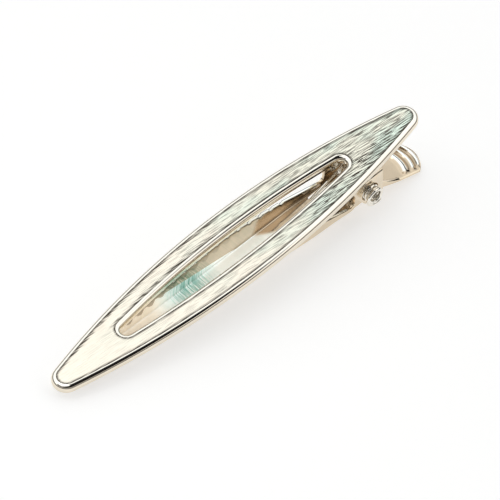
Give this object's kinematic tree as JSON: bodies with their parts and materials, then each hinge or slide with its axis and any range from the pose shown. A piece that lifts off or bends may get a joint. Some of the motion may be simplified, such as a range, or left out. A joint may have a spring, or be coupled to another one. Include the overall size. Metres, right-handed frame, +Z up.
{
  "type": "alligator hair clip",
  "caption": "Long steel hair clip: an almond-shaped windowed plate hinged to a toothed jaw with a ribbed finger lever and a coil spring.",
  "frame": {"origin": "middle of the footprint, at the table that the jaw's tip and the lever's pad rest on", "axes": "+X runs lengthwise from the gripping tip to the finger lever, +Y is across the clip, +Z is up"},
  "size_m": [0.0806, 0.0138, 0.0122],
  "materials": {
    "brushed_plate": "warm nickel plating, brushed lengthwise, with polished rounded edges",
    "polished_sheet": "warm nickel plating, polished",
    "spring_wire": "bright drawn spring wire"
  },
  "bodies": {
    "plate_body": {"top_plate": "brushed_plate", "hinge_bracket": "polished_sheet", "torsion_spring": "spring_wire"},
    "jaw_body": {"lower_jaw": "polished_sheet"}
  },
  "joints": [
    {"name": "jaw_hinge", "type": "hinge", "parent": "plate_body", "child": "jaw_body", "pos_m": [0.02541, 0, 0.00546], "axis": [0, -1, 0], "range_deg": [0, 36], "stiffness_Nm_per_rad": 0.05, "springref_deg": -60.16, "deforming": ["torsion_spring"]}
  ]
}
